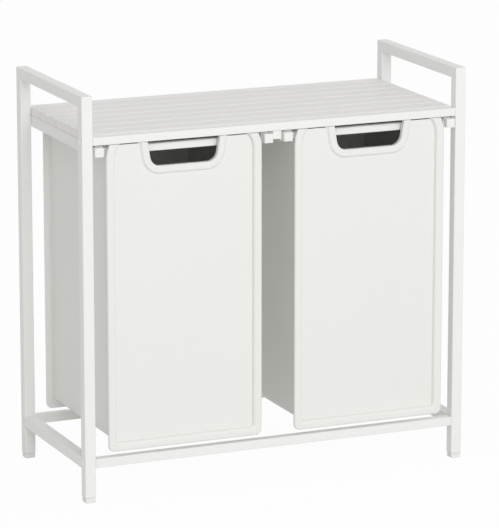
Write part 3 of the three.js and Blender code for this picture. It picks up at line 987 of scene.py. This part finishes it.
def panelMesh(hasNotch):
    # front and back skins over one flat triangulation, joined round their outline
    flat, kept = flatTriangles(panelLoops(hasNotch))
    used = sorted({corner for triangle in kept for corner in triangle})
    number = {corner: place for place, corner in enumerate(used)}
    points = []
    for skinDepth in (frontDepth, backDepth):
        for corner in used:
            x, z = flat[corner]
            points.append((x, skinDepth(x, z, hasNotch), z))
    count = len(used)
    faces, borders = [], {}
    for triangle in kept:
        a, b, c = (number[corner] for corner in triangle)
        faces += [(a, b, c), (a + count, c + count, b + count)]
        for start, end in ((a, b), (b, c), (c, a)):
            borders[start, end] = True
    for start, end in borders:
        if (end, start) not in borders:
            faces.append((end, start, start + count, end + count))
    return points, faces


def addPanels():
    for part, hasNotch, turn in (("front_panel", True, 1), ("back_panel", False, -1)):
        points, faces = panelMesh(hasNotch)
        for side in sides:
            node = f"{side}_bin_{part}"
            low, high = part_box(node)
            middle, face = (low.x + high.x) / 2, low.y if turn > 0 else high.y
            spots = [(middle + turn * x * mm, face + turn * y * mm, z * mm) for x, y, z in points]
            piece = smoothed(newPiece(camel(node), spots, faces), panel["smoothAngle"])
            finished(piece, binPlastic, "bin_plastic", f"{side}_bin", node)


addPanels()
print("bin panels ready")


# square bars, solid or hollow
def roundedSquare(reach, corner, steps=6):
    flat, ring = reach - corner, []
    for turn, (y, z) in enumerate(((flat, flat), (-flat, flat), (-flat, -flat), (flat, -flat))):
        for step in range(steps + 1):
            angle = math.pi / 2 * (turn + step / steps)
            ring.append((y + corner * math.cos(angle), z + corner * math.sin(angle)))
    return ring


def squareBar(name, centre, reach, half, corner, wall=0.0, edge=0.0, boreCorner=0.0):
    # along X, as rounded squares from one end to the other and, in a tube, back through the bore
    profile = [(0.0, -half), (0.0, half)]
    if wall:
        nearEnd = [(wall, -half), (edge, -half), (0.0, edge - half)]
        profile = nearEnd + [(inset, -along) for inset, along in reversed(nearEnd)]
    points, faces = [], []
    for inset, along in profile:
        ring = roundedSquare(reach - inset, max(corner - inset, boreCorner))
        points += [(centre.x + along, centre.y + y, centre.z + z) for y, z in ring]
    count, rows = len(ring), len(profile)
    for row in range(rows if wall else rows - 1):
        near, far = row * count, (row + 1) % rows * count
        for step in range(count):
            beside = (step + 1) % count
            faces.append((near + step, near + beside, far + beside, far + step))
    if not wall:
        faces += [tuple(range(count)), tuple(range(2 * count - 1, count - 1, -1))]
    bar = newPiece(name, points, faces)
    work = openMesh(bar)
    bmesh.ops.recalc_face_normals(work, faces=work.faces)
    closeMesh(work, bar)
    return bar


# bodies of the bins: two sides and a bottom, open at both ends and at the top
binBody = {
    "wall": 2.2, "radius": 12.0, "arcSteps": 8,
    "edge": 0.5, "edgeSegments": 2, "edgeAngle": 50,
    "holeSlack": 0.3, "holeCorner": 2.4, "cutterHalf": 200.0,
}


def troughMesh(low, high):
    # the body's wall between an outer and an inner U, from its front end to its back end
    middle, half = (low.x + high.x) / 2, (high.x - low.x) / 2
    wall, radius, steps = binBody["wall"] * mm, binBody["radius"] * mm, binBody["arcSteps"]
    outer, inner = [(-half, high.z)], [(-half + wall, high.z)]
    for centre, start in ((-half + radius, math.pi), (half - radius, 1.5 * math.pi)):
        for step in range(steps + 1):
            angle = start + step / steps * math.pi / 2
            across, up = math.cos(angle), math.sin(angle)
            outer.append((centre + radius * across, low.z + radius + radius * up))
            inner.append((centre + (radius - wall) * across, low.z + radius + (radius - wall) * up))
    outer.append((half, high.z))
    inner.append((half - wall, high.z))
    count = len(outer)
    points = [(middle + x, y, z) for y in (low.y, high.y) for line in (outer, inner) for x, z in line]
    faces = []
    for a in range(count - 1):
        b = a + 1
        faces += [
            (a, b, count + b, count + a),                                       # front end
            (2 * count + b, 2 * count + a, 3 * count + a, 3 * count + b),       # back end
            (b, a, 2 * count + a, 2 * count + b),                               # outside
            (count + a, count + b, 3 * count + b, 3 * count + a),               # inside
        ]
    faces.append((0, count, 3 * count, 2 * count))                              # top of the left side
    faces.append((2 * count - 1, count - 1, 3 * count - 1, 4 * count - 1))      # top of the right side
    return points, faces


def addBinBody(side):
    node = f"{side}_bin_body"
    piece = newPiece(camel(node), *troughMesh(*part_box(node)))
    for bar in ("grip_bar", "back_bar"):
        low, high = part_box(f"{side}_bin_{bar}")
        reach = (high.z - low.z) / 2 + binBody["holeSlack"] * mm
        half, corner = binBody["cutterHalf"] * mm, binBody["holeCorner"] * mm
        cutter = squareBar("barHole", (low + high) / 2, reach, half, corner)
        cut = piece.modifiers.new("hole", "BOOLEAN")
        cut.operation, cut.solver, cut.object = "DIFFERENCE", "EXACT", cutter
        baked(piece)
        bpy.data.objects.remove(cutter)
    edged(piece, binBody["edge"], binBody["edgeSegments"], binBody["edgeAngle"])
    finished(piece, binPlastic, "bin_plastic", f"{side}_bin", node)


for side in sides:
    addBinBody(side)
print("bin bodies ready")


# bars and hangers that carry the bins
hanging = {
    "barCorner": 2.2, "barWall": 1.2, "barEdge": 0.3, "boreCorner": 0.4,
    "hangerWall": 1.2, "hangerEdge": 0.35, "hangerSegments": 2,
}


def addBar(side, bar):
    node = f"{side}_bin_{bar}"
    low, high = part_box(node)
    sizes = (hanging[key] * mm for key in ("barCorner", "barWall", "barEdge", "boreCorner"))
    piece = squareBar(camel(node), (low + high) / 2, (high.z - low.z) / 2, (high.x - low.x) / 2, *sizes)
    finished(smoothed(piece), barCoat, "bin_steel", f"{side}_bin", node)


def addHanger(side, hand):
    # the hanger's leg stands on the bin's side of its lip
    node = f"{side}_bin_{hand}_hanger"
    wall = hanging["hangerWall"] * mm
    piece = angleStrip(camel(node), *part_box(node), wall, wall, hand == "right")
    edged(piece, hanging["hangerEdge"], hanging["hangerSegments"])
    finished(piece, barCoat, "bin_steel", f"{side}_bin", node)


for side in sides:
    for bar in ("grip_bar", "back_bar"):
        addBar(side, bar)
    for hand in ("left", "right"):
        addHanger(side, hand)
print("bars and hangers ready")
